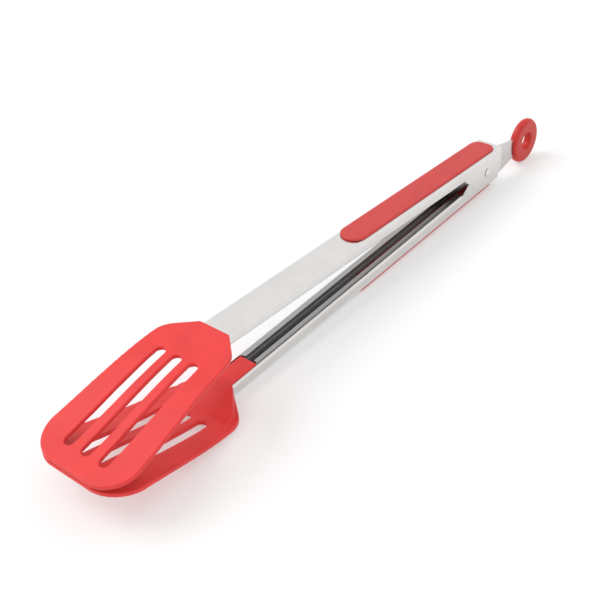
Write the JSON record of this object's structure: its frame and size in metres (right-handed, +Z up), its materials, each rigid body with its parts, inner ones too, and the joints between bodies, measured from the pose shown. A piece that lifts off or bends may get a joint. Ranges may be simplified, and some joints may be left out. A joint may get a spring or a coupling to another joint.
{
  "type": "kitchen tongs",
  "caption": "Spring loaded kitchen tongs with red silicone slotted heads, steel channel arms, soft grips and a pull ring lock.",
  "frame": {"origin": "middle of the tongs' length, on the surface that they rest on", "axes": "+X towards the pull ring and -X towards the heads, Y along the hinge pin, +Z up"},
  "size_m": [0.3412, 0.0512, 0.0366],
  "materials": {
    "polished_steel": "satin polished stainless sheet",
    "head_silicone": "satin silicone",
    "pad_silicone": "matt silicone",
    "pin_steel": "polished",
    "spring_steel": "drawn wire",
    "slide_steel": "satin",
    "ring_silicone": "satin silicone"
  },
  "bodies": {
    "lower": {"lower_arm": "polished_steel", "lower_head": "head_silicone", "lower_grip_pad": "pad_silicone"},
    "upper": {"upper_arm": "polished_steel", "upper_head": "head_silicone", "upper_grip_pad": "pad_silicone"},
    "core": {"hinge_pin": "pin_steel", "torsion_spring": "spring_steel"},
    "lock": {"lock_slide": "slide_steel", "pull_ring": "ring_silicone"}
  },
  "joints": [
    {"name": "arms_open", "type": "hinge", "parent": "lower", "child": "upper", "pos_m": [0.11595, 0, 0.01349], "axis": [0, 1, 0], "range_deg": [0, 25], "deforming": ["torsion_spring"]},
    {"name": "core_turn", "type": "hinge", "parent": "lower", "child": "core", "pos_m": [0.11595, 0, 0.01349], "axis": [0, 1, 0], "range_deg": [0, 12.5]},
    {"name": "lock_push", "type": "slide", "parent": "core", "child": "lock", "axis": [-0.9997, 0, 0.0234], "range_m": [0, 0.016]}
  ],
  "couplings": [
    {"joint": "core_turn", "follows": "arms_open", "ratio": 0.5},
    {"joint": "lock_push", "follows": "arms_open", "m_per_rad": 0.03666}
  ]
}
